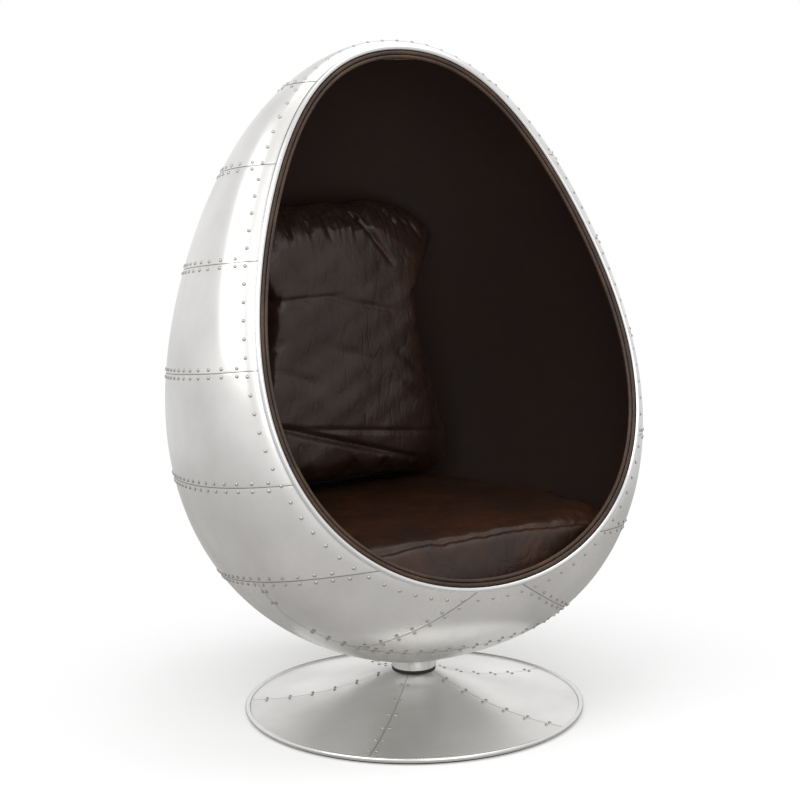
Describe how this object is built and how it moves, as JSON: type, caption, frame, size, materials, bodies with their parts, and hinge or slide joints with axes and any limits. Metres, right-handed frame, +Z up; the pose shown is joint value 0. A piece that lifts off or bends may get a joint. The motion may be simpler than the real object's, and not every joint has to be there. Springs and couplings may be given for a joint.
{
  "type": "swivel egg chair",
  "caption": "Egg-shaped swivel armchair: riveted aluminium shell open at the front, leather-lined inside with seat and back cushions, on a flared round pedestal base.",
  "frame": {"origin": "on the floor, on the swivel axis", "axes": "+Z up along the swivel axis; the open front faces -Y, so +Y points to the chair's back; the left-right symmetry plane is x = 0"},
  "size_m": [0.8764, 0.7966, 1.184],
  "materials": {
    "floor_rubber": "moulded black rubber ring",
    "pressed_steel": "pressed and cut steel with dark primer",
    "satin_aluminium": "hand-formed aluminium sheet, buffed to a satin sheen",
    "polished_aluminium": "rolled and spun aluminium, polished",
    "rivet_aluminium": "domed aluminium rivet heads",
    "machined_steel": "turned steel",
    "plated_fasteners": "zinc plated steel",
    "bearing_chrome": "ground and polished steel balls",
    "brass_cage": "stamped brass",
    "seal_rubber": "moulded black rubber",
    "bronze_bush": "sintered bronze",
    "birch_plywood": "sanded birch plywood",
    "beech_blocks": "sawn beech",
    "moulded_shell": "hand-laid glass fibre moulding",
    "upholstery_foam": "cut upholstery foam",
    "piping_leather": "dark brown leather rolled over cord",
    "lining_leather": "dark brown aniline leather, stretched and glued",
    "seat_leather": "dark brown waxed leather over foam",
    "back_leather": "dark brown waxed leather over down and foam"
  },
  "bodies": {
    "base": {"floor_pad": "floor_rubber", "base_cone": "pressed_steel", "base_sheet_1": "satin_aluminium", "base_sheet_2": "satin_aluminium", "base_sheet_3": "satin_aluminium", "base_sheet_4": "satin_aluminium", "base_sheet_5": "satin_aluminium", "base_bead": "polished_aluminium", "base_rivets": "rivet_aluminium", "spindle_tube": "machined_steel", "ballast_plate": "pressed_steel", "spindle_bolts": "plated_fasteners", "pivot_pin": "machined_steel", "lower_race": "machined_steel", "bearing_balls": "bearing_chrome", "ball_cage": "brass_cage", "neck_seal": "seal_rubber", "pin_washer": "plated_fasteners", "pin_nut": "plated_fasteners"},
    "pod": {"upper_race": "machined_steel", "lower_bush": "bronze_bush", "upper_bush": "bronze_bush", "pivot_hub": "machined_steel", "hub_plate": "pressed_steel", "hub_bolts": "plated_fasteners", "hub_nuts": "plated_fasteners", "clamp_pad": "seal_rubber", "hub_spreader": "birch_plywood", "neck_collar": "polished_aluminium", "pod_shell_bowl": "moulded_shell", "pod_shell_crown": "moulded_shell", "pod_shell_right": "moulded_shell", "pod_shell_left": "moulded_shell", "pod_sheet_1": "satin_aluminium", "pod_sheet_2": "satin_aluminium", "pod_sheet_3": "satin_aluminium", "pod_sheet_4": "satin_aluminium", "pod_sheet_5": "satin_aluminium", "pod_sheet_top": "satin_aluminium", "pod_sheet_keel": "satin_aluminium", "pod_sheet_front_right": "satin_aluminium", "pod_sheet_front_left": "satin_aluminium", "pod_sheet_back": "satin_aluminium", "pod_sheet_belly": "satin_aluminium", "ring_rivets": "rivet_aluminium", "bowl_rivets": "rivet_aluminium", "rim_rivets": "rivet_aluminium", "rim_trim": "polished_aluminium", "outer_piping": "piping_leather", "inner_piping": "piping_leather", "lining_foam": "upholstery_foam", "lining_leather": "lining_leather", "seat_board": "birch_plywood", "board_screws": "plated_fasteners", "seat_blocks": "beech_blocks", "seat_cushion": "seat_leather", "back_cushion": "back_leather", "back_support": "lining_leather"}
  },
  "joints": [
    {"name": "swivel", "type": "hinge", "parent": "base", "child": "pod", "pos_m": [0, 0, 0.0771], "axis": [0, 0, 1], "continuous": true}
  ]
}
